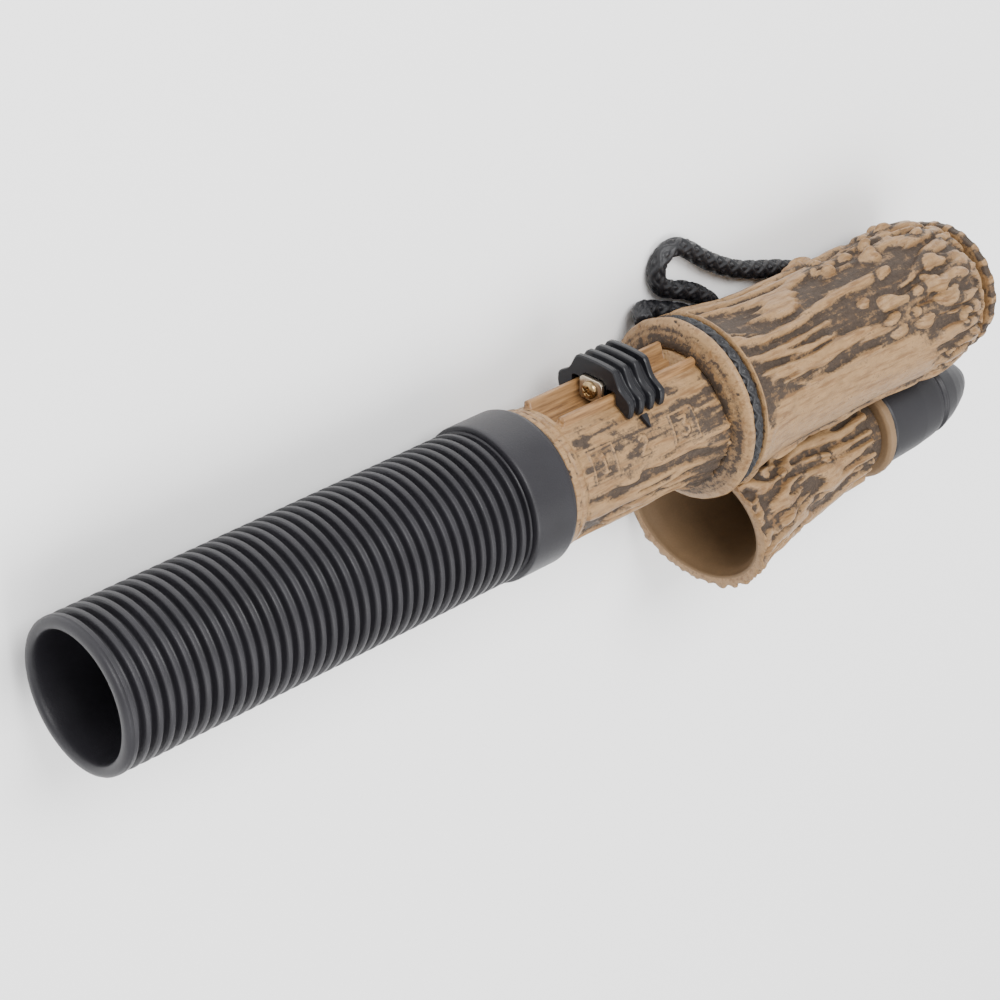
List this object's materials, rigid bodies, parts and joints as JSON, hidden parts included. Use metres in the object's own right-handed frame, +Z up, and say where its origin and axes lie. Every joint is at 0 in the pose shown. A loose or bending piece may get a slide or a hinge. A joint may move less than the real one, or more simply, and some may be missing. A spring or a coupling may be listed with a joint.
{
  "type": "deer grunt call",
  "caption": "Two-chamber game call: ribbed rubber hose, slotted barrel with thumb slide over a reed, bark-textured shell, bell chamber and neck lanyard.",
  "frame": {"origin": "centre of the bounding box of the call, without its free cord, on the surface that it lies on", "axes": "+X along the main tube from the hose's open end to the blow end, +Y towards the thumb slide, +Z up"},
  "size_m": [0.268, 0.0746, 0.0416],
  "materials": {
    "bark_moulding": "tan plastic with a dark brown wash in its bark relief",
    "black_rubber": "satin moulded rubber",
    "black_plastic": "satin moulded plastic",
    "nickel_plate": "nickel plated",
    "brass": "bright, slightly dulled",
    "inner_moulding": "satin",
    "reed_film": "clear amber film",
    "braided_cord": "braided nylon"
  },
  "bodies": {
    "call": {"front_barrel": "bark_moulding", "rear_barrel": "bark_moulding", "tone_board": "inner_moulding", "tone_board_o_ring": "black_rubber", "reed_wedge": "inner_moulding", "lower_chamber": "bark_moulding", "chamber_ring": "bark_moulding", "air_jet": "inner_moulding", "lanyard_loop": "braided_cord", "lanyard_lead": "braided_cord", "lanyard_bight": "braided_cord", "lanyard_hank": "braided_cord", "lanyard_tie": "black_rubber"},
    "hose": {"hose": "black_rubber"},
    "slide": {"slide_saddle": "black_plastic", "slide_plate": "nickel_plate", "slide_screw": "brass", "slide_nut": "brass", "reed_runner": "inner_moulding", "reed_pad": "black_rubber"},
    "reed": {"reed": "reed_film"},
    "mouthpiece": {"mouthpiece": "bark_moulding", "mouthpiece_o_ring": "black_rubber"},
    "cap": {"chamber_cap": "black_rubber"}
  },
  "joints": [
    {"name": "pitch_slide", "type": "slide", "parent": "call", "child": "slide", "axis": [1, 0, 0], "range_m": [-0.011, 0.011]},
    {"name": "hose_pull", "type": "slide", "parent": "call", "child": "hose", "axis": [-1, 0, 0], "range_m": [0, 0.016]},
    {"name": "reed_flex", "type": "hinge", "parent": "call", "child": "reed", "pos_m": [-0.013, 0.0145, 0.0208], "axis": [0, 0, 1], "range_deg": [-1.2, 0], "stiffness_Nm_per_rad": 0.02},
    {"name": "mouthpiece_pull", "type": "slide", "parent": "call", "child": "mouthpiece", "axis": [1, 0, 0], "range_m": [0, 0.016]},
    {"name": "cap_pull", "type": "slide", "parent": "call", "child": "cap", "axis": [1, 0, 0], "range_m": [0, 0.018]}
  ]
}
